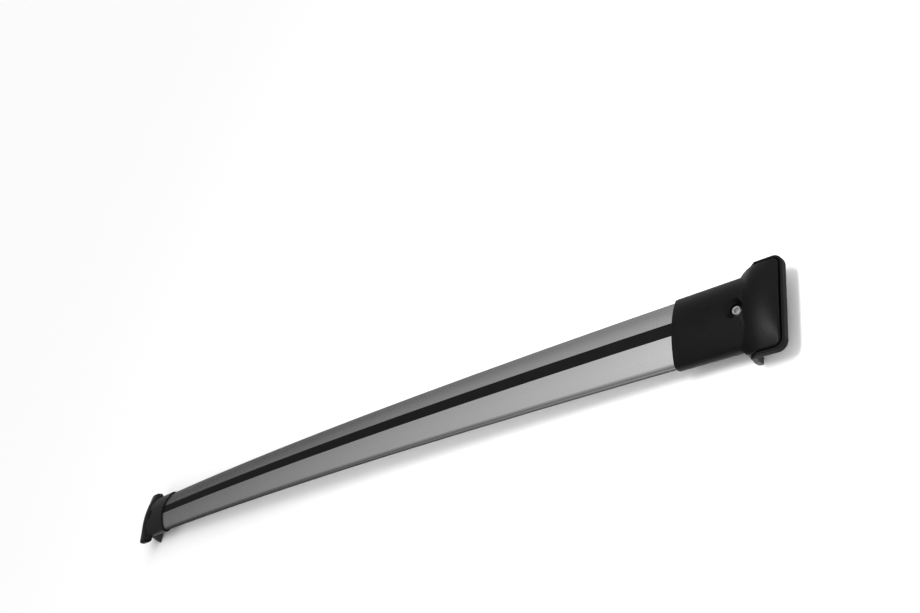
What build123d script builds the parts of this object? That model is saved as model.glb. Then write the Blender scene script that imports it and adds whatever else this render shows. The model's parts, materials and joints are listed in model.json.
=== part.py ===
from build123d import *
import math
import os

# Roof rack crossbar, millimetres: X along the bar, Y across it, Z up.
# The origin is under the middle of the bar, on the level of the claws' lowest edges.

# Bar: an oval extrusion of four tangent arcs, bent to a shallow arch
BAR_VISIBLE = 974.0  # straight distance between the tips of the two sleeves
BAR_SAGITTA = 9.9  # rise of the arch over that distance
BAR_WIDTH = 58.0
BAR_CROWN = 11.2  # top of the section above the level of its two edges
BAR_BELLY = 9.5  # bottom of the section below that level
BAR_EDGE = 5.0  # radius of the section's two edges
BAR_WALL = 2.0
WEB = 1.8

# Slot along the top of the bar, and the rubber strip in it
SLOT_MOUTH = 11.4
SLOT_WIDTH = 18.0
SLOT_HEIGHT = 6.4
SLOT_LIP = 2.4  # thickness of the lips at the middle of the bar
STRIP_GAP = 0.2
STRIP_FLANGE = 1.6
STRIP_LEG = 1.4
STRIP_SUNK = 0.2  # top of the strip below the crown of the bar
STRIP_INSERT = 24.0  # length of strip inside each sleeve

# Cover: sleeve round the bar end, with a hollow curve at its inboard edge
FIT_GAP = 0.2  # clearance between pieces that slide together
SLEEVE_WALL = 1.8
SLEEVE_LENGTH = 59.6  # from the two tips of the inboard edge to the head
SLEEVE_SCOOP = 3.2  # depth of the hollow curve
SLEEVE_LIP_ROUND = 1.2
SLEEVE_END_ROUND = 1.1
SLEEVE_NOSE = 6.5  # reach of the sleeve's top over the head, bowed to nothing at its sides
NOSE_SLOPE = 2.5  # length of the nose's slope for each unit of its fall
NOSE_FALL = 10.0  # depth of the nose below the sleeve's crown
END_ROOM = 13.6  # from the end of the bar to the head

# Cover: domed head, arched across and falling to its outer end
HEAD_HALF = 36.0
HEAD_LENGTH = 33.3
HEAD_CORNER = 5.7
HEAD_WALL = 2.4
HEAD_ROUND = 2.0
HEAD_PEAK = 15.0  # from the start of the head to its highest line
HEAD_BROW = 7.6  # level of the crown line at the outer end
HEAD_SHOULDER = 5.6  # level of the arch at its two sides
NECK_SHOULDER = -0.5  # the same at the start of the head
CREASE_DEPTH = 1.2  # the head's top below the sleeve's where the nose runs out
CREASE_LAP = 1.5  # length of the head inside the sleeve
FALL_SECTIONS = 3  # cross sections that shape the head beyond its highest line
FLARE_LENGTH = 7.5
FLARE_SUNK = 1.6  # start of the flare inside the sleeve's side
LIP_LEVEL = 0.0  # lower edge of the head, inside the pad's rim
THROAT = 4.0  # the sleeve's hollow runs on into the head

# Pad: rubber tray under the head
SEAM = 0.6  # groove between the head and the rim
RIM = 2.2  # thickness of the rim
RIM_TOP = 5.3
RIM_TOP_ROUND = 0.7
RIM_RAMP = 7.6  # length over which the rim rises at its inboard ends
PAD_BOTTOM = -3.1
PAD_BOTTOM_ROUND = 4.5
PAD_FLOOR = 3.0

# Clamp bolt, its washer, nut and retaining ring
BOLT_BACK = 0.4  # axis of the bolt inboard of the start of the head
BOLT = 5.0
BOLT_HEAD = 8.5
BOLT_HEAD_HEIGHT = 5.0
BOLT_SOCKET = 4.0
BOLT_SOCKET_DEPTH = 2.5
BOLT_CHAMFER = 0.5
RUN_GAP = 0.05  # between faces that turn or slide on each other
HOLE_GAP = 0.3  # round the bolt in the bracket and the claw
WASHER = 10.0
WASHER_THICK = 1.0
NUT = 8.0
NUT_THICK = 4.0
CLIP = 9.0
CLIP_THICK = 0.8
CLIP_GROOVE = 0.5  # depth of the bolt's groove
CLIP_OPENING = 3.4

# Recess in the cover over the bolt
RECESS = 17.0
RECESS_DEPTH = 4.0
WELL_GAP = 0.3
WELL_WALL = 2.0

# Bracket: tongues in the bar, end flange, bridge under the bolt, plate over the pad
TONGUE_GAP = 0.25
TONGUE_LENGTH = 38.0
TONGUE_HALF = 24.0  # outer side of the two side tongues
FLANGE = 3.8
BRIDGE_TOP = 3.0
BRIDGE_THICK = 7.1
BRIDGE_HALF = 18.5
PLATE_THICK = 2.7
PLATE_INSET = 3.4  # plate inside the outline of the head
RIB = 3.0
RIB_AT = 14.0
RIB_HEIGHT = 8.0
RIB_LENGTH = 34.0

# Claw that hooks the roof rail, its rubber facing and its travel
JAW_OUT = 5.2  # outboard face of its plate from the bolt's axis
JAW_PLATE = 4.2
JAW_HALF = 35.0
JAW_NECK_HALF = 30.5  # the claw is narrower at its top
JAW_BEND = 2.5  # radius of its heel
JAW_BOTTOM = -17.6
JAW_GAP = 0.4  # between the claw and what it slides past
JAW_WEB = 2.0  # over the nut
EAR_GAP = 1.5  # between the claw's ears and the bridge
EAR_TOP = -0.6
TOE = 6.4
TOE_THICK = 5.0
TOE_HALF = 27.0
BLOCK_HALF = 9.0
LINING = 2.0
LINING_DROP = 2.6  # top of the lining below the pad
JAW_TRAVEL = 5.0
NUT_GRIP = 2.8  # thread left in the nut at the end of the travel

# Screws
BRACKET_SCREW = 6.0
BRACKET_SCREW_HEAD = 10.0
BRACKET_SCREW_HEAD_HEIGHT = 2.4
BRACKET_SCREW_LENGTH = 8.0
BRACKET_SCREW_BACK = 10.0  # first screw from the end of the bar
BRACKET_SCREW_PITCH = 20.0
SPOT_FACE = 0.3
COVER_SCREW = 3.5
COVER_SCREW_HEAD = 7.0
COVER_SCREW_LENGTH = 7.0
COVER_SCREW_OUT = 20.4  # from the start of the head
COVER_SCREW_SIDE = 20.5
BOSS_WALL = 2.2
DRIVE = 3.0  # across the flats of the screws' hexagon sockets
DRIVE_DEPTH = 1.4

# Sizes that follow from the ones above
BAR_HALF = BAR_WIDTH / 2
BAR_INSERT = SLEEVE_LENGTH - END_ROOM
ARCH_RADIUS = ((BAR_VISIBLE / 2) ** 2 + BAR_SAGITTA ** 2) / (2 * BAR_SAGITTA)
SLEEVE_ANGLE = math.asin(BAR_VISIBLE / 2 / ARCH_RADIUS)
END_ANGLE = SLEEVE_ANGLE + BAR_INSERT / ARCH_RADIUS
STRIP_ANGLE = SLEEVE_ANGLE + STRIP_INSERT / ARCH_RADIUS
FOOT_ANGLE = SLEEVE_ANGLE + BAR_INSERT / 2 / ARCH_RADIUS
SLOT_TOP = BAR_CROWN - SLOT_LIP
SLOT_FLOOR = SLOT_TOP - SLOT_HEIGHT
SLEEVE_GROW = FIT_GAP + SLEEVE_WALL
SLEEVE_CROWN = BAR_CROWN + SLEEVE_GROW
SLEEVE_HALF = BAR_HALF + SLEEVE_GROW
HEAD_END = SLEEVE_LENGTH + HEAD_LENGTH
BOLT_AT = SLEEVE_LENGTH - BOLT_BACK
JAW_FACE = BOLT_AT + JAW_OUT
PAD_START = JAW_FACE + 2 * JAW_GAP
PAD_TOP_FACE = PAD_BOTTOM + PAD_FLOOR
PLATE_TOP = PAD_TOP_FACE + PLATE_THICK
COVER_SCREW_END = PAD_TOP_FACE + COVER_SCREW_LENGTH
FLANGE_START = BAR_INSERT + FIT_GAP
FLANGE_END = FLANGE_START + FLANGE
RIB_END = FLANGE_END + RIB_LENGTH
BRIDGE_BOTTOM = BRIDGE_TOP - BRIDGE_THICK
WASHER_TOP = BRIDGE_TOP + WASHER_THICK
BOLT_SEAT = WASHER_TOP + RUN_GAP
BOLT_TOP = BOLT_SEAT + BOLT_HEAD_HEIGHT
WELL = WASHER + 2 * FIT_GAP
CLIP_TOP = BRIDGE_BOTTOM - FIT_GAP
JAW_TOP = CLIP_TOP - CLIP_THICK - JAW_GAP
NUT_TOP = JAW_TOP - JAW_WEB
BOLT_END = NUT_TOP - JAW_TRAVEL - NUT_GRIP
NUT_POCKET = NUT + 2 * RUN_GAP
BLOCK_BOTTOM = NUT_TOP - NUT_THICK - JAW_GAP
JAW_BACK = JAW_FACE - JAW_PLATE
TOE_END = JAW_FACE + TOE
TOE_TOP = JAW_BOTTOM + TOE_THICK
LINING_TOP = PAD_BOTTOM - LINING_DROP
EAR_INNER = BRIDGE_HALF + EAR_GAP
BLOCK_START = FLANGE_END + JAW_GAP
SCREW_SEAT = SPOT_FACE - BAR_BELLY
FIRST_SCREW = BAR_INSERT - BRACKET_SCREW_BACK
BRACKET_SCREWS_AT = (FIRST_SCREW - BRACKET_SCREW_PITCH, FIRST_SCREW)
COVER_SCREWS_AT = (SLEEVE_LENGTH + COVER_SCREW_OUT, COVER_SCREW_SIDE)
FAR = 200.0  # larger than any foot, for cutting tools

# The ground touches the outer lower edge of the two claws
TOE_REACH = TOE_END - BAR_INSERT / 2
GROUND = TOE_REACH * math.sin(FOOT_ANGLE) - (ARCH_RADIUS + JAW_BOTTOM) * math.cos(FOOT_ANGLE)
ARCH_AXIS = Axis((0, 0, GROUND), (0, 1, 0))


def block(along, across, up):
    """Box between pairs of limits along the foot, across it and up it."""
    limits = (along, across, up)
    sizes = [high - low for low, high in limits]
    return Pos(*[low for low, high in limits]) * Box(*sizes, align=(Align.MIN, Align.MIN, Align.MIN))


def post(along, across, low, high, diameter):
    """Upright cylinder between two levels."""
    upward = (Align.CENTER, Align.CENTER, Align.MIN)
    return Pos(along, across, low) * Cylinder(diameter / 2, high - low, align=upward)


def rectangle(left, right, low, high):
    return Pos((left + right) / 2, (low + high) / 2) * Rectangle(right - left, high - low)


def run_along(section, start, end):
    """Section drawn in the across and up directions, run along the foot."""
    return extrude(Plane.YZ.offset(start) * section, amount=end - start)


def run_up(outline, low, high):
    return extrude(Plane.XY.offset(low) * outline, amount=high - low)


def run_across(profile, half):
    return extrude(Plane.XZ * profile, amount=half, both=True)


def oval(grow):
    """The bar's section of four tangent arcs, grown all round by a given amount."""
    half, edge = BAR_HALF + grow, BAR_EDGE + grow
    reach = half - edge

    def meeting(height):
        """Point where the flat arc of that height runs into the edge's arc."""
        flat = (reach ** 2 + height ** 2 - edge ** 2) / (2 * (height - edge))
        share = edge / (flat - edge)
        return reach * (1 + share), (flat - height) * share

    across, up = meeting(BAR_CROWN + grow)
    under, down = meeting(BAR_BELLY + grow)
    top = ThreePointArc((-across, up), (0, BAR_CROWN + grow), (across, up))
    right = ThreePointArc((across, up), (half, 0), (under, -down))
    bottom = ThreePointArc((under, -down), (0, -BAR_BELLY - grow), (-under, -down))
    left = ThreePointArc((-under, -down), (-half, 0), (-across, up))
    return make_face([top, right, bottom, left])


def bend(section, angle):
    """Section swung about the arch's axis to the same angle on both sides of the middle."""
    upright = Plane.YZ * (Pos(0, GROUND + ARCH_RADIUS) * section)
    start = upright.rotate(ARCH_AXIS, -math.degrees(angle))
    return revolve(start, ARCH_AXIS, 2 * math.degrees(angle))


def chambers():
    """The bar's two side chambers and the middle one, as one sketch."""
    inside = oval(-BAR_WALL)
    web = SLOT_WIDTH / 2 + WEB
    sides = rectangle(web, BAR_HALF, -BAR_HALF, BAR_HALF) + rectangle(-BAR_HALF, -web, -BAR_HALF, BAR_HALF)
    middle = rectangle(-SLOT_WIDTH / 2, SLOT_WIDTH / 2, -BAR_HALF, SLOT_FLOOR - WEB)
    return inside & (sides + middle)


def bar():
    slot = rectangle(-SLOT_WIDTH / 2, SLOT_WIDTH / 2, SLOT_FLOOR, SLOT_TOP)
    mouth = rectangle(-SLOT_MOUTH / 2, SLOT_MOUTH / 2, SLOT_FLOOR, BAR_HALF)
    solid = bend(oval(0) - chambers() - slot - mouth, END_ANGLE)
    for place in foot_places().values():
        for along in BRACKET_SCREWS_AT:
            solid -= place * post(along, 0, -BAR_HALF, SCREW_SEAT, BRACKET_SCREW_HEAD + 2 * FIT_GAP)
            solid -= place * post(along, 0, -BAR_HALF, 0, BRACKET_SCREW + 2 * HOLE_GAP)
    return solid


def slot_strip():
    """Rubber profile: a face in the slot's mouth, a flange under the lips and two legs."""
    neck = SLOT_MOUTH / 2 - STRIP_GAP
    flange = SLOT_WIDTH / 2 - STRIP_GAP
    flange_top = SLOT_TOP - STRIP_GAP
    face = oval(-STRIP_SUNK) & rectangle(-neck, neck, flange_top - STRIP_FLANGE, BAR_HALF)
    foot = rectangle(-flange, flange, flange_top - STRIP_FLANGE, flange_top)
    leg = rectangle(neck - STRIP_LEG, neck, SLOT_FLOOR + STRIP_GAP, flange_top)
    return bend(face + foot + leg + mirror(leg, Plane.YZ), STRIP_ANGLE)


def head_outline(grow):
    """Plan of the head, grown by a given amount: an arc flares from the sleeve to round outer corners."""
    neck = SLEEVE_HALF - FLARE_SUNK
    lap, start, wide = SLEEVE_LENGTH - CREASE_LAP, SLEEVE_LENGTH, SLEEVE_LENGTH + FLARE_LENGTH
    half, end, corner = HEAD_HALF + grow, HEAD_END + grow, HEAD_CORNER + grow
    edges = [Line((end, half - corner), (end, corner - half)), Line((lap, neck), (lap, -neck))]
    for side in (1, -1):
        edges += [
            Line((lap, side * neck), (start, side * neck)),
            TangentArc((wide, side * half), (start, side * neck), tangent=(-1, 0)),
            Line((wide, side * half), (end - corner, side * half)),
            TangentArc((end - corner, side * half), (end, side * (half - corner)), tangent=(1, 0)),
        ]
    return make_face(edges)


def head_arch(along, crown, shoulder):
    """Cross section of the dome: an arc over straight sides that the plan cuts off."""
    half = HEAD_HALF + SEAM
    arc = ThreePointArc((-half, shoulder), (0, crown), (half, shoulder))
    sides = Polyline((half, shoulder), (half, -BAR_HALF), (-half, -BAR_HALF), (-half, shoulder))
    return Plane.YZ.offset(along) * make_face([arc, *sides.edges()])


def head(inset):
    """Dome of the head, smaller all round by the inset, its crown line an arc that falls outwards."""
    peak = SLEEVE_LENGTH + HEAD_PEAK
    fall, drop = HEAD_END - peak, SLEEVE_CROWN - HEAD_BROW
    radius = (fall ** 2 + drop ** 2) / (2 * drop)
    valley = SLEEVE_CROWN - CREASE_DEPTH - inset
    arches = [
        head_arch(SLEEVE_LENGTH - 2 * CREASE_LAP, valley, NECK_SHOULDER - inset),
        head_arch(SLEEVE_LENGTH + SLEEVE_NOSE, valley, (NECK_SHOULDER + 2 * HEAD_SHOULDER) / 3 - inset),
        head_arch(peak, SLEEVE_CROWN - inset, HEAD_SHOULDER - inset),
    ]
    for step in range(1, FALL_SECTIONS + 1):
        beyond = fall * step / FALL_SECTIONS
        level = SLEEVE_CROWN - radius + math.sqrt(radius ** 2 - beyond ** 2)
        arches.append(head_arch(peak + beyond, level - inset, HEAD_SHOULDER - inset))
    outline = head_outline(0)
    if inset:
        outline = offset(outline, -inset)
    return run_up(outline, -BAR_HALF, BAR_HALF) & loft(arches)


def sleeve_nose():
    """Top of the sleeve run on over the head, sloping down to a bowed crease."""
    bow = (SLEEVE_HALF ** 2 + SLEEVE_NOSE ** 2) / (2 * SLEEVE_NOSE)
    top = bow - NOSE_SLOPE * CREASE_DEPTH
    upright = (Align.CENTER, Align.CENTER, Align.MAX)
    slope = Cone(top + NOSE_SLOPE * NOSE_FALL, top, NOSE_FALL, align=upright)
    over = run_along(oval(SLEEVE_GROW), SLEEVE_LENGTH - 2 * CREASE_LAP, HEAD_END)
    return over & Pos(SLEEVE_LENGTH + SLEEVE_NOSE - bow, 0, SLEEVE_CROWN) * slope


def foot_cover():
    """Moulded cover: a sleeve and a domed head in one shell, with a well over the clamp bolt."""
    sleeve = run_along(oval(SLEEVE_GROW), 0, SLEEVE_LENGTH)
    scoop = (SLEEVE_HALF ** 2 + SLEEVE_SCOOP ** 2) / (2 * SLEEVE_SCOOP)
    sleeve -= post(SLEEVE_SCOOP - scoop, 0, -FAR, FAR, 2 * scoop)
    ends = sleeve.faces().sort_by(Axis.X)
    sleeve = fillet(ends[0].edges(), SLEEVE_LIP_ROUND)
    sleeve = fillet(sleeve.faces().sort_by(Axis.X)[-1].edges(), SLEEVE_END_ROUND)
    dome = head(0)
    rims = dome.faces().sort_by(Axis.Z)[-1].edges().filter_by(lambda edge: edge.center().X > SLEEVE_LENGTH)
    dome = fillet(rims, HEAD_ROUND) - block((-FAR, FAR), (-FAR, FAR), (-FAR, LIP_LEVEL))
    shell = sleeve + dome + sleeve_nose()

    cover = shell - run_along(oval(FIT_GAP), -FAR, SLEEVE_LENGTH + THROAT) - head(HEAD_WALL)
    well_top = SLEEVE_CROWN - SLEEVE_WALL / 2
    cover += post(BOLT_AT, 0, BRIDGE_TOP + WELL_GAP, well_top, WELL + 2 * WELL_WALL) & shell
    for side in (1, -1):
        along, across = COVER_SCREWS_AT[0], side * COVER_SCREWS_AT[1]
        cover += post(along, across, PLATE_TOP, FAR, COVER_SCREW + 2 * BOSS_WALL) & dome
        cover -= post(along, across, LIP_LEVEL, COVER_SCREW_END + FIT_GAP, COVER_SCREW + 2 * RUN_GAP)

    cover -= post(BOLT_AT, 0, LIP_LEVEL, FAR, WELL)
    dish = Cone(WELL / 2, RECESS / 2, RECESS_DEPTH, align=(Align.CENTER, Align.CENTER, Align.MAX))
    cover -= Pos(BOLT_AT, 0, SLEEVE_CROWN) * dish + post(BOLT_AT, 0, SLEEVE_CROWN, FAR, RECESS)
    for along in BRACKET_SCREWS_AT:
        cover -= post(along, 0, -FAR, SCREW_SEAT, BRACKET_SCREW_HEAD + 2 * WELL_WALL)
    notch = BLOCK_HALF + 2 * JAW_GAP
    return cover - block((BLOCK_START - JAW_GAP, FAR), (-notch, notch), (-FAR, LIP_LEVEL))


def foot_pad():
    """Rubber tray: a floor under the bracket's plate and a rounded rim round the head."""
    beyond = rectangle(PAD_START, FAR, -FAR, FAR)

    def round_off(tray, which, radius):
        """Round the edges of the tray's top or bottom face, but not at its straight inboard end."""
        edges = tray.faces().sort_by(Axis.Z)[which].edges()
        return fillet(edges.filter_by(lambda edge: edge.center().X > PAD_START + FIT_GAP), radius)

    pad = run_up(head_outline(SEAM + RIM) & beyond, PAD_BOTTOM, RIM_TOP)
    pad = round_off(pad, 0, PAD_BOTTOM_ROUND)
    pad -= run_up(head_outline(SEAM), PAD_TOP_FACE, FAR)
    pad = round_off(pad, -1, RIM_TOP_ROUND)
    ramp = make_face(Polyline(
        (PAD_START, PAD_TOP_FACE), (PAD_START + RIM_RAMP, RIM_TOP), (PAD_START, RIM_TOP), close=True))
    return pad - run_across(ramp, FAR)


def foot_bracket():
    """Cast core: three tongues in the bar, an end flange, a bridge for the bolt and a ribbed plate."""
    inside = oval(-BAR_WALL - TONGUE_GAP)
    web = SLOT_WIDTH / 2 + WEB + TONGUE_GAP
    middle = SLOT_WIDTH / 2 - TONGUE_GAP
    tongues = rectangle(web, TONGUE_HALF, -FAR, FAR) + rectangle(-TONGUE_HALF, -web, -FAR, FAR)
    tongues += rectangle(-middle, middle, -FAR, SLOT_FLOOR - WEB - TONGUE_GAP)
    bracket = run_along(inside & tongues, BAR_INSERT - TONGUE_LENGTH, FLANGE_START)
    bracket += run_along(oval(0), FLANGE_START, FLANGE_END)
    bridge = (FLANGE_START, PAD_START - FIT_GAP), (-BRIDGE_HALF, BRIDGE_HALF), (BRIDGE_BOTTOM, BRIDGE_TOP)
    bracket += block(*bridge)
    plate = offset(head_outline(0), -PLATE_INSET) & rectangle(JAW_FACE + JAW_GAP, FAR, -FAR, FAR)
    bracket += run_up(plate, PAD_TOP_FACE, PLATE_TOP)
    gusset = make_face(Polyline(
        (FLANGE_START, BRIDGE_BOTTOM), (FLANGE_START, RIB_HEIGHT), (FLANGE_END, RIB_HEIGHT),
        (RIB_END, PLATE_TOP), (JAW_FACE + JAW_GAP, PAD_TOP_FACE), close=True))
    for side in (1, -1):
        bracket += Pos(0, side * RIB_AT, 0) * run_across(gusset, RIB / 2)
        along, across = COVER_SCREWS_AT[0], side * COVER_SCREWS_AT[1]
        bracket -= Pos(along, across, PAD_TOP_FACE) * countersink(HOLE_GAP)
    for along in BRACKET_SCREWS_AT:
        end = SCREW_SEAT + BRACKET_SCREW_LENGTH + FIT_GAP
        bracket -= post(along, 0, -FAR, end, BRACKET_SCREW + 2 * RUN_GAP)
    bracket -= post(BOLT_AT, 0, BRIDGE_TOP, FAR, WELL + 2 * WELL_WALL + 2 * FIT_GAP)
    return bracket - post(BOLT_AT, 0, -FAR, FAR, BOLT + 2 * HOLE_GAP)


def clamp_jaw():
    """Claw bent to a hook, cut narrower at its toe and open between its two ears, with a nut housing."""
    hook = make_face(Polyline(
        (JAW_BACK, EAR_TOP), (JAW_FACE, EAR_TOP), (JAW_FACE, TOE_TOP), (TOE_END, TOE_TOP),
        (TOE_END, JAW_BOTTOM), (JAW_BACK, JAW_BOTTOM), close=True))
    heel = hook.vertices().group_by(Axis.Y)[0].sort_by(Axis.X)[0]
    blank = make_face(Polyline(
        (-JAW_NECK_HALF, EAR_TOP), (JAW_NECK_HALF, EAR_TOP), (JAW_HALF, TOE_TOP),
        (JAW_HALF, JAW_BOTTOM), (-JAW_HALF, JAW_BOTTOM), (-JAW_HALF, TOE_TOP), close=True))
    jaw = run_across(fillet(heel, JAW_BEND), JAW_HALF) & run_along(blank, BLOCK_START, FAR)
    for side in (1, -1):
        beside = sorted((side * TOE_HALF, side * FAR))
        jaw -= block((JAW_FACE, FAR), beside, (-FAR, FAR))
    jaw -= block((-FAR, FAR), (-EAR_INNER, EAR_INNER), (JAW_TOP, FAR))
    jaw += block((BLOCK_START, JAW_FACE), (-BLOCK_HALF, BLOCK_HALF), (BLOCK_BOTTOM, JAW_TOP))
    pocket = NUT_POCKET / 2
    jaw -= block((BOLT_AT - pocket, BOLT_AT + pocket), (-pocket, pocket), (-FAR, NUT_TOP))
    return jaw - post(BOLT_AT, 0, -FAR, FAR, BOLT + 2 * HOLE_GAP)


def jaw_lining():
    """Rubber facing on the plate and the toe of the claw."""
    face = make_face(Polyline(
        (JAW_FACE, LINING_TOP), (JAW_FACE + LINING, LINING_TOP), (JAW_FACE + LINING, TOE_TOP + LINING),
        (TOE_END, TOE_TOP + LINING), (TOE_END, TOE_TOP), (JAW_FACE, TOE_TOP), close=True))
    return run_across(face, TOE_HALF)


def jaw_nut():
    half = NUT / 2
    nut = block((BOLT_AT - half, BOLT_AT + half), (-half, half), (NUT_TOP - NUT_THICK, NUT_TOP))
    return nut - post(BOLT_AT, 0, -FAR, FAR, BOLT + 2 * RUN_GAP)


def turned(*points):
    """Solid of revolution about the upright axis from the points of its half section."""
    return revolve(Plane.XZ * make_face(Polyline(*points, close=True)), Axis.Z)


def drive(size, depth):
    """Hexagon socket below level zero, across flats."""
    hexagon = RegularPolygon(size / 2, 6, major_radius=False)
    return run_up(hexagon, -depth, depth)


def clamp_bolt():
    """Socket head bolt with a groove for its retaining ring."""
    radius, head_radius, core = BOLT / 2, BOLT_HEAD / 2, BOLT / 2 - CLIP_GROOVE
    groove_top, groove_low = CLIP_TOP + RUN_GAP, CLIP_TOP - CLIP_THICK - RUN_GAP
    bolt = turned(
        (0, BOLT_END), (radius - BOLT_CHAMFER, BOLT_END), (radius, BOLT_END + BOLT_CHAMFER),
        (radius, groove_low), (core, groove_low), (core, groove_top), (radius, groove_top),
        (radius, BOLT_SEAT), (head_radius, BOLT_SEAT), (head_radius, BOLT_TOP - BOLT_CHAMFER),
        (head_radius - BOLT_CHAMFER, BOLT_TOP), (0, BOLT_TOP))
    return Pos(BOLT_AT, 0, 0) * (bolt - Pos(0, 0, BOLT_TOP) * drive(BOLT_SOCKET, BOLT_SOCKET_DEPTH))


def bolt_washer():
    washer = post(BOLT_AT, 0, BRIDGE_TOP, WASHER_TOP, WASHER)
    return washer - post(BOLT_AT, 0, BRIDGE_TOP, WASHER_TOP, BOLT + 2 * HOLE_GAP)


def bolt_clip():
    """Open retaining ring in the groove of the bolt, under the bridge."""
    low = CLIP_TOP - CLIP_THICK
    ring = post(BOLT_AT, 0, low, CLIP_TOP, CLIP)
    ring -= post(BOLT_AT, 0, low, CLIP_TOP, BOLT - 2 * CLIP_GROOVE + 2 * RUN_GAP)
    return ring - block((BOLT_AT - FAR, BOLT_AT), (-CLIP_OPENING / 2, CLIP_OPENING / 2), (low, CLIP_TOP))


def bracket_screws():
    """Low head screws through the bar's underside into the middle tongue."""
    screws = []
    for along in BRACKET_SCREWS_AT:
        low = SCREW_SEAT - BRACKET_SCREW_HEAD_HEIGHT
        screw = post(along, 0, low, SCREW_SEAT, BRACKET_SCREW_HEAD)
        screw += post(along, 0, SCREW_SEAT, SCREW_SEAT + BRACKET_SCREW_LENGTH, BRACKET_SCREW)
        screws.append(screw - Pos(along, 0, low) * drive(DRIVE, DRIVE_DEPTH))
    return Compound(screws)


def countersink(gap):
    """Countersunk screw from level zero upwards, or the hole for it with a gap round it."""
    radius, head_radius = COVER_SCREW / 2 + gap, COVER_SCREW_HEAD / 2 + gap
    return turned(
        (0, 0), (head_radius, 0), (radius, head_radius - radius),
        (radius, COVER_SCREW_LENGTH), (0, COVER_SCREW_LENGTH))


def cover_screws():
    """Countersunk screws up through the bracket's plate into the bosses of the cover."""
    screws = []
    for side in (1, -1):
        place = Pos(COVER_SCREWS_AT[0], side * COVER_SCREWS_AT[1], PAD_TOP_FACE)
        screws.append(place * (countersink(0) - drive(DRIVE, DRIVE_DEPTH)))
    return Compound(screws)


def foot_places():
    """Places of the right and the left foot, level with the arch half way along the inserted bar end."""
    right = Pos(0, 0, GROUND) * Rot(0, math.degrees(FOOT_ANGLE), 0) * Pos(-BAR_INSERT / 2, 0, ARCH_RADIUS)
    return {"right": right, "left": Rot(0, 0, 180) * right}


FOOT_PIECES = (
    foot_cover, foot_pad, foot_bracket, clamp_jaw, jaw_lining, jaw_nut,
    clamp_bolt, bolt_washer, bolt_clip, bracket_screws, cover_screws,
)

if __name__ == "__main__":
    os.makedirs("parts", exist_ok=True)
    export_step(bar(), "parts/bar.step")
    export_step(slot_strip(), "parts/slot_strip.step")
    for make in FOOT_PIECES:
        piece = make()
        for side, place in foot_places().items():
            export_step(place * piece, f"parts/{side}_{make.__name__}.step")
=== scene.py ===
import json
import math
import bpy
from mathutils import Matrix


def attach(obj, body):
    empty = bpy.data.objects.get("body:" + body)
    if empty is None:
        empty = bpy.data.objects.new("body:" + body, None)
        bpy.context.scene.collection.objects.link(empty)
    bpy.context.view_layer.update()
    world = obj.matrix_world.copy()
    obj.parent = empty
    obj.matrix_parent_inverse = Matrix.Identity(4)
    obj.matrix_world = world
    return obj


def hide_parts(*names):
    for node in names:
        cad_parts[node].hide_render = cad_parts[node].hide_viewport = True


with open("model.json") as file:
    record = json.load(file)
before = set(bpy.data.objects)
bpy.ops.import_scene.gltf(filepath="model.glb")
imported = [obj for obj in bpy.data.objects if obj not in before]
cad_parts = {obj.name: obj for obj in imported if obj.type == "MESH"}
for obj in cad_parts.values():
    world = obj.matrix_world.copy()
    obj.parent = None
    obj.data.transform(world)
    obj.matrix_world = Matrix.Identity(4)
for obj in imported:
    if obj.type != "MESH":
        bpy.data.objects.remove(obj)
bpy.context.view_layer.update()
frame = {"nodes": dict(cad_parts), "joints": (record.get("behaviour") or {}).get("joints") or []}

import bpy
from mathutils import Matrix, Vector

nodes = frame["nodes"]
scene = bpy.context.scene
bpy.ops.object.select_all(action="DESELECT")

# Camera fitted to both feet and the bar's edges in the photograph
PHOTO_WIDTH = 920
FOCAL_PIXELS = 963.5
SENSOR = 36.0
CLIP_NEAR = 0.02
CLIP_FAR = 200.0
EYE = (0.9329, -0.3532, 0.5453)
RIGHT = (0.6243, 0.1260, -0.7710)
UP = (0.2951, 0.8758, 0.3820)
BACK = (0.7233, -0.4660, 0.5096)

# Grain of moulded and cast skins, with scales in repeats per metre
CELL_SCALE = 900.0
CELL_SOFTNESS = 0.6
SPECKS_PER_CELL = 2.3
SPECK_SHARE = 0.5  # height of the specks as a share of the cells'
DRIFT_SCALE = 55.0
NOISE_SPAN = (0.3, 0.7)  # the part of a noise's range that is put to use

# Lines that the die leaves along the bar, following its arch
ARCH_RADIUS = 11.983
LINE_SCALE = 1400.0
LINE_RUN = 3.0  # the same scale along the bar, where the lines are long
CLOUD_SCALE = 18.0
CLOUD_SPAN = (0.35, 0.65)
LINE_RELIEF = 0.000005
LINE_BUMP = 0.2

# Satin anodised bar
BAR_TONES = (0.590, 0.610)
BAR_CLOUD_TONE = 0.60
BAR_ROUGHNESS = (0.25, 0.26)
BAR_CLOUD_ROUGHNESS = 0.03
BAR_FLAT_TINT = 0.20  # dulls what the bar reflects at flat angles

# Painted shade on the bar's rounded edges: a darker base colour, growing with the distance from its middle
# line
BAR_EDGE_SHADE_TONE = 0.12
BAR_EDGE_SHADE_START = 0.0256
BAR_EDGE_SHADE_END = 0.0290
BAR_EDGE_LEVEL = 0.0305  # level of the edges at the middle of the arch
BAR_EDGE_BLUR = 0.001
BAR_UNDER_SHADE_START = 0.0230  # below that level the painted shade starts and ends nearer the middle line
BAR_UNDER_SHADE_END = 0.0262

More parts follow.
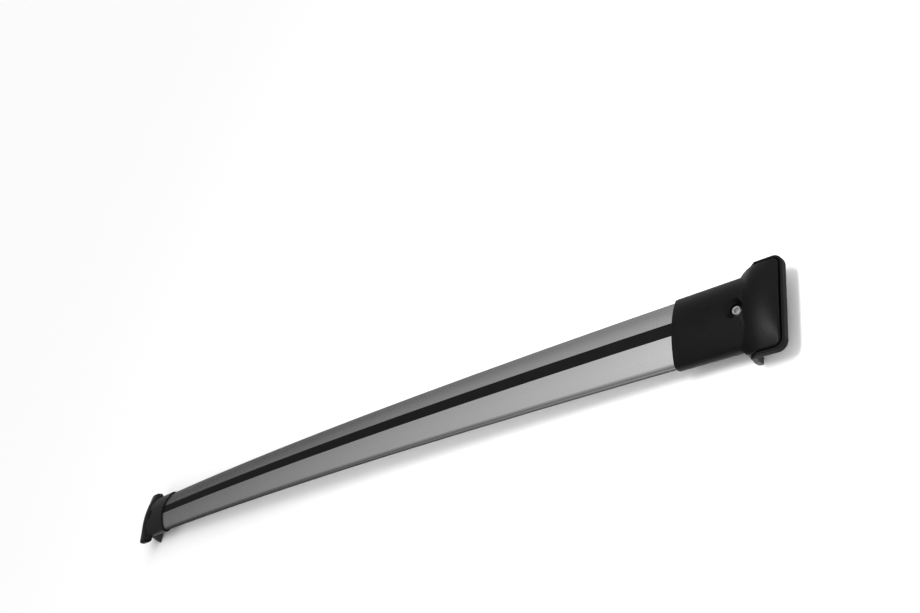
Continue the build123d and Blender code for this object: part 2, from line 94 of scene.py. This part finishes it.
# Clamp bolt, measured from its seat under the head
HEAD_RADIUS = 0.00425
HEAD_HEIGHT = 0.005
HEAD_CHAMFER = 0.0010
KNURL_COLUMNS = 96
KNURL_VALLEY = 0.972  # radius of the valleys as a share of the head's
SOCKET_SIDES = 6
SOCKET_FLATS = 0.004
SOCKET_DEPTH = 0.0025
SOCKET_MOUTH = 0.0003
SHANK_RADIUS = 0.0025
GROOVE_RADIUS = 0.002
GROOVE_TOP = -0.0083
GROOVE_LOW = -0.0092
THREAD_CORE = 0.00207
THREAD_FOOT = 2 * GROOVE_RADIUS - THREAD_CORE  # foot of the ridge, inside the core
THREAD_PITCH = 0.0008
THREAD_TURNS = 11
THREAD_STEPS = 32
THREAD_LAND = 0.15  # width of the thread's crest as a share of its foot
THREAD_MERGE = THREAD_PITCH / 1000
BOLT_END = -0.01935
SMOOTH_ANGLE = math.radians(30.0)

# Floor, sky and lamp
FLOOR_SIZE = 120.0
FLOOR_TONE = 0.95
SKY_SIDE = (0.840, -0.130, 0.527)  # the brightest side of the sky
SKY_PEAK = 2.24
SKY_FALL = 1.9
SKY_LEAST = 0.20
SKY_MOST = 1.22
LAMP_AT = (0.5875, -0.03, 0.77)
LAMP_SIZE = (0.175, 0.45)
LAMP_POWER = 5.0


def set_camera():
    bpy.ops.object.camera_add()
    camera = bpy.context.object
    camera.name = "camera"
    camera.data.sensor_width = SENSOR
    camera.data.sensor_fit = "HORIZONTAL"
    camera.data.lens = FOCAL_PIXELS / PHOTO_WIDTH * SENSOR
    camera.data.clip_start = CLIP_NEAR
    camera.data.clip_end = CLIP_FAR
    columns = [Vector(RIGHT), Vector(UP), Vector(BACK)]
    turn = Matrix(columns).transposed().to_4x4()
    camera.matrix_world = Matrix.Translation(EYE) @ turn
    scene.camera = camera


class Tree:
    """A node tree with short ways to add and join nodes."""

    def __init__(self, tree):
        self.tree = tree

    def add(self, kind, **values):
        node = self.tree.nodes.new(kind)
        for name, value in values.items():
            setattr(node, name, value)
        return node

    def join(self, source, target):
        self.tree.links.new(source, target)

    def feed(self, target, value):
        """Link a socket to the target, or set the target to a plain value."""
        if isinstance(value, bpy.types.NodeSocket):
            self.join(value, target)
        else:
            target.default_value = value

    def math(self, operation, first, second):
        node = self.add("ShaderNodeMath", operation=operation)
        self.feed(node.inputs[0], first)
        self.feed(node.inputs[1], second)
        return node.outputs[0]

    def spread(self, value, low, high, start, end):
        """Map the range from start to end to the one from low to high, held at both ends."""
        node = self.add("ShaderNodeMapRange", clamp=True)
        self.feed(node.inputs["Value"], value)
        self.feed(node.inputs["From Min"], start)
        self.feed(node.inputs["From Max"], end)
        self.feed(node.inputs["To Min"], low)
        self.feed(node.inputs["To Max"], high)
        return node.outputs["Result"]

    def mix(self, share, first, second):
        node = self.add("ShaderNodeMix", data_type="RGBA")
        self.feed(node.inputs["Factor"], share)
        self.feed(node.inputs["A"], first)
        self.feed(node.inputs["B"], second)
        return node.outputs["Result"]

    def noise(self, place, scale, detail, roughness=0.5):
        node = self.add("ShaderNodeTexNoise", noise_dimensions="3D")
        self.feed(node.inputs["Vector"], place)
        self.feed(node.inputs["Scale"], scale)
        self.feed(node.inputs["Detail"], detail)
        self.feed(node.inputs["Roughness"], roughness)
        return node.outputs["Fac"]

    def along_arch(self, place):
        """Split a place into its way along the bar, its way across and its level on the straightened arch."""
        parts = self.add("ShaderNodeSeparateXYZ")
        self.join(place, parts.inputs[0])
        square = self.math("POWER", parts.outputs["X"], 2.0)
        level = self.math("ADD", parts.outputs["Z"], self.math("MULTIPLY", square, 0.5 / ARCH_RADIUS))
        return parts.outputs["X"], parts.outputs["Y"], level


def new_group(name, inputs, outputs):
    """Shader node group with a place and named numbers as inputs, and numbers as outputs."""
    tree = bpy.data.node_groups.new(name, "ShaderNodeTree")
    tree.interface.new_socket("Place", in_out="INPUT", socket_type="NodeSocketVector")
    for socket, value in inputs.items():
        made = tree.interface.new_socket(socket, in_out="INPUT", socket_type="NodeSocketFloat")
        made.default_value = value
    for socket in outputs:
        tree.interface.new_socket(socket, in_out="OUTPUT", socket_type="NodeSocketFloat")
    pen = Tree(tree)
    return pen, pen.add("NodeGroupInput").outputs, pen.add("NodeGroupOutput").inputs


def moulded_grain():
    """Fine pebbled skin of a spark-eroded mould: cells with soft valleys, and a slow drift."""
    pen, given, result = new_group("moulded_grain", {"Cells": CELL_SCALE}, ("Height", "Drift"))
    cells = pen.add("ShaderNodeTexVoronoi", feature="SMOOTH_F1")
    pen.join(given["Place"], cells.inputs["Vector"])
    pen.join(given["Cells"], cells.inputs["Scale"])
    cells.inputs["Smoothness"].default_value = CELL_SOFTNESS
    speck = pen.noise(given["Place"], pen.math("MULTIPLY", given["Cells"], SPECKS_PER_CELL), detail=2.0)
    height = pen.math("ADD", cells.outputs["Distance"], pen.math("MULTIPLY", speck, SPECK_SHARE))
    pen.join(height, result["Height"])
    pen.join(pen.noise(given["Place"], DRIFT_SCALE, detail=4.0, roughness=0.6), result["Drift"])
    return pen.tree


def drawn_lines():
    """Faint lines that an extrusion die leaves along the arched bar, and a slow cloud."""
    inputs = {"Lines": LINE_SCALE, "Run": LINE_RUN}
    pen, given, result = new_group("drawn_lines", inputs, ("Lines", "Cloud"))
    along, across, level = pen.along_arch(given["Place"])
    stretched = pen.add("ShaderNodeCombineXYZ")
    pen.join(pen.math("MULTIPLY", along, given["Run"]), stretched.inputs["X"])
    pen.join(pen.math("MULTIPLY", across, given["Lines"]), stretched.inputs["Y"])
    pen.join(pen.math("MULTIPLY", level, given["Lines"]), stretched.inputs["Z"])
    pen.join(pen.noise(stretched.outputs[0], 1.0, detail=2.0), result["Lines"])
    pen.join(pen.noise(given["Place"], CLOUD_SCALE, detail=3.0, roughness=0.55), result["Cloud"])
    return pen.tree


GRAIN = moulded_grain()
LINES = drawn_lines()


def new_material(name):
    """Material with a Principled shader and Object coordinates."""
    material = bpy.data.materials.new(name)
    material.use_nodes = True
    pen = Tree(material.node_tree)
    shader = next(node for node in pen.tree.nodes if node.type == "BSDF_PRINCIPLED")
    place = pen.add("ShaderNodeTexCoord").outputs["Object"]
    return material, pen, shader.inputs, place


def use_group(pen, group, place, **values):
    node = pen.add("ShaderNodeGroup", node_tree=group)
    pen.join(place, node.inputs["Place"])
    for name, value in values.items():
        node.inputs[name].default_value = value
    return node.outputs


def raise_skin(pen, shader, height, relief, bump):
    """Turn a height into bumps of the given relief in metres."""
    node = pen.add("ShaderNodeBump")
    node.inputs["Strength"].default_value = bump
    node.inputs["Distance"].default_value = relief
    pen.join(height, node.inputs["Height"])
    pen.join(node.outputs["Normal"], shader["Normal"])


def grey(level):
    return (level, level, level, 1.0)


def anodised_bar():
    """Satin anodised extrusion with faint lines along it, and painted shade that darkens its base colour
    towards its two rounded edges and their undersides.
    """
    material, pen, shader, place = new_material("satin_anodised_aluminium")
    skin = use_group(pen, LINES, place)
    streak = pen.spread(skin["Lines"], 0.0, 1.0, *NOISE_SPAN)
    streaks = pen.mix(streak, *map(grey, BAR_TONES))
    cloud = pen.spread(skin["Cloud"], 0.0, 1.0, *CLOUD_SPAN)
    face = pen.mix(cloud, streaks, grey(BAR_CLOUD_TONE))
    _, across, level = pen.along_arch(place)
    aside = pen.math("ABSOLUTE", across, 0.0)
    # painted shade: the base colour turns darker on the rounded edges and on the underside next to them
    below = pen.spread(level, 1.0, 0.0, BAR_EDGE_LEVEL - BAR_EDGE_BLUR, BAR_EDGE_LEVEL + BAR_EDGE_BLUR)
    painted_under_shade = pen.math("MULTIPLY", below, pen.spread(aside, 0.0, 1.0, BAR_UNDER_SHADE_START, BAR_UNDER_SHADE_END))
    painted_edge_shade = pen.math("MAXIMUM", painted_under_shade, pen.spread(aside, 0.0, 1.0, BAR_EDGE_SHADE_START, BAR_EDGE_SHADE_END))
    pen.join(pen.mix(painted_edge_shade, face, grey(BAR_EDGE_SHADE_TONE)), shader["Base Color"])
    shader["Metallic"].default_value = 1.0
    shader["Specular Tint"].default_value = grey(BAR_FLAT_TINT)
    lines = pen.spread(skin["Lines"], *BAR_ROUGHNESS, *NOISE_SPAN)
    clouds = pen.math("MULTIPLY", skin["Cloud"], BAR_CLOUD_ROUGHNESS)
    pen.join(pen.math("ADD", clouds, lines), shader["Roughness"])
    raise_skin(pen, shader, skin["Lines"], LINE_RELIEF, LINE_BUMP)
    return material


def grained_skin(name, tones, roughness, cells, relief, bump):
    """Material with a pebbled skin that drifts slowly between two tones and two values of roughness."""
    material, pen, shader, place = new_material(name)
    skin = use_group(pen, GRAIN, place, Cells=cells)
    drift = pen.spread(skin["Drift"], 0.0, 1.0, *NOISE_SPAN)
    pen.join(pen.mix(drift, *map(grey, tones)), shader["Base Color"])
    pen.join(pen.spread(skin["Drift"], *roughness, *NOISE_SPAN), shader["Roughness"])
    raise_skin(pen, shader, skin["Height"], relief, bump)
    return material, shader


def matte_rubber(name, tones, roughness, cells):
    """Black rubber with a fine speckle."""
    material, shader = grained_skin(name, tones, roughness, cells, relief=0.00006, bump=0.6)
    shader["Specular IOR Level"].default_value = 0.10
    return material


def grained_plastic():
    """Black moulded cover with a fine pebbled skin."""
    material, shader = grained_skin(
        "grained_black_plastic", tones=(0.0014, 0.0022), roughness=(0.36, 0.44),
        cells=1100.0, relief=0.00008, bump=0.7)
    shader["Specular IOR Level"].default_value = 0.095
    return material


def powder_coat():
    """Black powder coat with a slight orange peel."""
    material, _ = grained_skin(
        "black_powder_coat", tones=(0.018, 0.026), roughness=(0.34, 0.44),
        cells=600.0, relief=0.00008, bump=0.5)
    return material


def bare_metal(name, tones, roughness, relief=0.00002, cells=1500.0):
    """Plated, rolled or cast metal with a mottled tone and a fine surface."""
    material, shader = grained_skin(name, tones, roughness, cells, relief, bump=0.5)
    shader["Metallic"].default_value = 1.0
    return material


FINISHES = {
    "bar": anodised_bar(),
    "slot_strip": matte_rubber("strip_rubber", tones=(0.0015, 0.0035), roughness=(0.64, 0.76), cells=1600.0),
    "foot_cover": grained_plastic(),
    "foot_pad": matte_rubber("pad_rubber", tones=(0.002, 0.004), roughness=(0.58, 0.70), cells=1300.0),
    "foot_bracket": bare_metal(
        "cast_aluminium", tones=(0.42, 0.56), roughness=(0.45, 0.57), relief=0.0001, cells=700.0),
    "clamp_jaw": powder_coat(),
    "jaw_lining": matte_rubber("lining_rubber", tones=(0.014, 0.020), roughness=(0.62, 0.74), cells=1300.0),
    "jaw_nut": bare_metal("zinc_nut", tones=(0.50, 0.62), roughness=(0.30, 0.42), relief=0.00003),
    "clamp_bolt": bare_metal("zinc_bolt", tones=(0.38, 0.46), roughness=(0.27, 0.39)),
    "bolt_washer": bare_metal("zinc_washer", tones=(0.55, 0.66), roughness=(0.27, 0.39)),
    "bolt_clip": bare_metal("spring_steel", tones=(0.30, 0.40), roughness=(0.30, 0.42)),
    "bracket_screws": bare_metal("stainless_screws", tones=(0.50, 0.60), roughness=(0.25, 0.37)),
    "cover_screws": bare_metal("stainless_small_screws", tones=(0.46, 0.56), roughness=(0.27, 0.39)),
}


def dress_nodes():
    """Give every CAD node the finish of its kind."""
    for name, node in nodes.items():
        kind = name.removeprefix("right_").removeprefix("left_")
        node.data.materials.clear()
        node.data.materials.append(FINISHES[kind])


def pick(test):
    """Select the vertices of the piece in edit mode that pass a test of their place."""
    bpy.ops.mesh.select_all(action="DESELECT")
    bpy.ops.object.mode_set(mode="OBJECT")
    for vertex in bpy.context.object.data.vertices:
        vertex.select = test(vertex.co)
    bpy.ops.object.mode_set(mode="EDIT")


def thin(share):
    """Scale what is selected about the bolt's upright axis."""
    bpy.ops.transform.resize(value=(share, share, 1.0), center_override=(0.0, 0.0, 0.0))


def pull(step):
    """Extrude what is selected along the bolt's upright axis."""
    bpy.ops.mesh.extrude_region_move(TRANSFORM_OT_translate={"value": (0.0, 0.0, step)})


def apply_place():
    bpy.ops.object.transform_apply(location=True, rotation=True, scale=True)


def bolt_blank():
    """Knurled head with a chamfered top, and a shank stepped for the retaining ring and the thread."""
    straight = HEAD_HEIGHT - HEAD_CHAMFER
    bpy.ops.object.select_all(action="DESELECT")
    bpy.ops.mesh.primitive_cylinder_add(
        vertices=KNURL_COLUMNS, radius=HEAD_RADIUS, depth=straight, location=(0.0, 0.0, straight / 2))
    apply_place()
    bpy.ops.object.mode_set(mode="EDIT")
    pick(lambda place: place.z > straight / 2)
    bpy.ops.mesh.inset(thickness=HEAD_CHAMFER)
    bpy.ops.transform.translate(value=(0.0, 0.0, HEAD_CHAMFER))
    pick(lambda place: place.z < straight / 2)
    bpy.ops.mesh.inset(thickness=HEAD_RADIUS - SHANK_RADIUS)
    steps = (
        (0.0, SHANK_RADIUS), (GROOVE_TOP, SHANK_RADIUS), (GROOVE_TOP, GROOVE_RADIUS),
        (GROOVE_LOW, GROOVE_RADIUS), (GROOVE_LOW, THREAD_CORE), (BOLT_END, THREAD_CORE))
    for (level, radius), (next_level, next_radius) in zip(steps, steps[1:]):
        pull(next_level - level)
        thin(next_radius / radius)
    column = math.tau / KNURL_COLUMNS

    def valley(place):
        outside = math.hypot(place.x, place.y) > HEAD_RADIUS - HEAD_CHAMFER / 2
        return outside and round(math.atan2(place.y, place.x) / column) % 2 == 1

    pick(valley)
    thin(KNURL_VALLEY)
    bpy.ops.object.mode_set(mode="OBJECT")
    return bpy.context.object


def sink_socket(blank):
    """Cut a hexagon socket with a flared mouth into the head."""
    radius = SOCKET_FLATS / math.sqrt(3)
    depth = SOCKET_DEPTH - SOCKET_MOUTH
    middle = HEAD_HEIGHT - SOCKET_DEPTH + depth / 2
    flare = 2 * SOCKET_MOUTH  # half of it stands above the head
    bpy.ops.object.select_all(action="DESELECT")
    bpy.ops.mesh.primitive_cylinder_add(
        vertices=SOCKET_SIDES, radius=radius, depth=depth, location=(0.0, 0.0, middle))
    apply_place()
    cutter = bpy.context.object
    bpy.ops.object.mode_set(mode="EDIT")
    pick(lambda place: place.z > middle)
    pull(flare)
    thin(1.0 + flare / radius)
    bpy.ops.object.mode_set(mode="OBJECT")
    cut = blank.modifiers.new("socket", "BOOLEAN")
    cut.operation = "DIFFERENCE"
    cut.solver = "EXACT"
    cut.object = cutter
    bpy.context.view_layer.objects.active = blank
    bpy.ops.object.modifier_apply(modifier=cut.name)
    bpy.data.objects.remove(cutter)


def thread_ridge():
    """Helical ridge of the thread, its foot inside the core and both of its ends closed."""
    middle = ((THREAD_FOOT + SHANK_RADIUS) / 2, 0.0, BOLT_END + THREAD_PITCH / 2)
    bpy.ops.object.select_all(action="DESELECT")
    bpy.ops.mesh.primitive_plane_add(size=THREAD_PITCH, location=middle, rotation=(math.pi / 2, 0.0, 0.0))
    apply_place()
    ridge = bpy.context.object
    bpy.ops.object.mode_set(mode="EDIT")
    bpy.ops.mesh.select_all(action="SELECT")
    width = (SHANK_RADIUS - THREAD_FOOT) / THREAD_PITCH
    bpy.ops.transform.resize(value=(width, 1.0, 1.0), center_override=middle)
    pick(lambda place: place.x > middle[0])
    bpy.ops.transform.resize(value=(1.0, 1.0, THREAD_LAND), center_override=middle)
    bpy.ops.mesh.select_all(action="SELECT")
    bpy.ops.mesh.delete(type="ONLY_FACE")
    bpy.ops.object.mode_set(mode="OBJECT")
    turn = ridge.modifiers.new("thread", "SCREW")
    turn.angle = math.tau
    turn.screw_offset = THREAD_PITCH
    turn.iterations = THREAD_TURNS
    turn.steps = THREAD_STEPS
    turn.render_steps = THREAD_STEPS
    bpy.ops.object.modifier_apply(modifier=turn.name)
    bpy.ops.object.mode_set(mode="EDIT")
    bpy.ops.mesh.select_all(action="SELECT")
    bpy.ops.mesh.remove_doubles(threshold=THREAD_MERGE)
    bpy.ops.mesh.fill_holes(sides=4)
    bpy.ops.mesh.select_all(action="SELECT")
    bpy.ops.mesh.normals_make_consistent(inside=False)
    bpy.ops.object.mode_set(mode="OBJECT")
    return ridge


def clamp_bolts():
    """Model the clamp bolt once and set a copy in each foot, in place of the plain solid."""
    blank = bolt_blank()
    sink_socket(blank)
    ridge = thread_ridge()
    bpy.ops.object.select_all(action="DESELECT")
    blank.select_set(True)
    ridge.select_set(True)
    bpy.context.view_layer.objects.active = blank
    bpy.ops.object.join()
    bpy.ops.object.shade_smooth_by_angle(angle=SMOOTH_ANGLE)
    bpy.ops.object.duplicate()
    hinges = {joint["name"]: joint for joint in frame["joints"]}
    for side, bolt in (("right", blank), ("left", bpy.context.object)):
        hinge = hinges[f"{side}_bolt_turn"]
        lean = Vector((0.0, 0.0, 1.0)).rotation_difference(Vector(hinge["axis"]))
        bolt.matrix_world = Matrix.Translation(hinge["pos_m"]) @ lean.to_matrix().to_4x4()
        bpy.ops.object.select_all(action="DESELECT")
        bolt.select_set(True)
        bpy.context.view_layer.objects.active = bolt
        apply_place()
        bolt.name = f"{side}_threaded_bolt"
        bolt.data.materials.append(FINISHES["clamp_bolt"])
        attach(bolt, f"{side}_bolt")
        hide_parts(f"{side}_clamp_bolt")


def pale_floor():
    """Large plain pale floor."""
    bpy.ops.mesh.primitive_plane_add(size=FLOOR_SIZE)
    floor = bpy.context.object
    floor.name = "floor"
    material, _, shader, _ = new_material("pale_floor")
    shader["Base Color"].default_value = grey(FLOOR_TONE)
    shader["Roughness"].default_value = 1.0
    shader["Specular IOR Level"].default_value = 0.0
    floor.data.materials.append(material)


def studio_light():
    """Soft sky that brightens towards the near end up to a limit, with one soft lamp over the near foot."""
    world = bpy.data.worlds.new("studio")
    scene.world = world
    world.use_nodes = True
    pen = Tree(world.node_tree)
    sky = next(node for node in pen.tree.nodes if node.type == "BACKGROUND")
    way = pen.add("ShaderNodeTexCoord").outputs["Generated"]
    aim = pen.add("ShaderNodeVectorMath", operation="DOT_PRODUCT")
    pen.join(way, aim.inputs[0])
    aim.inputs[1].default_value = SKY_SIDE
    half = pen.spread(aim.outputs["Value"], 0.0, 1.0, -1.0, 1.0)
    glow = pen.math("MULTIPLY", pen.math("POWER", half, SKY_FALL), SKY_PEAK)
    pen.join(pen.math("MINIMUM", pen.math("ADD", glow, SKY_LEAST), SKY_MOST), sky.inputs["Strength"])
    sky.inputs["Color"].default_value = grey(1.0)

    bpy.ops.object.light_add(type="AREA", location=LAMP_AT)
    lamp = bpy.context.object
    lamp.name = "foot_lamp"
    lamp.data.shape = "ELLIPSE"
    lamp.data.size, lamp.data.size_y = LAMP_SIZE
    lamp.data.energy = LAMP_POWER


set_camera()
dress_nodes()
clamp_bolts()
pale_floor()
studio_light()
scene.view_settings.view_transform = "Standard"
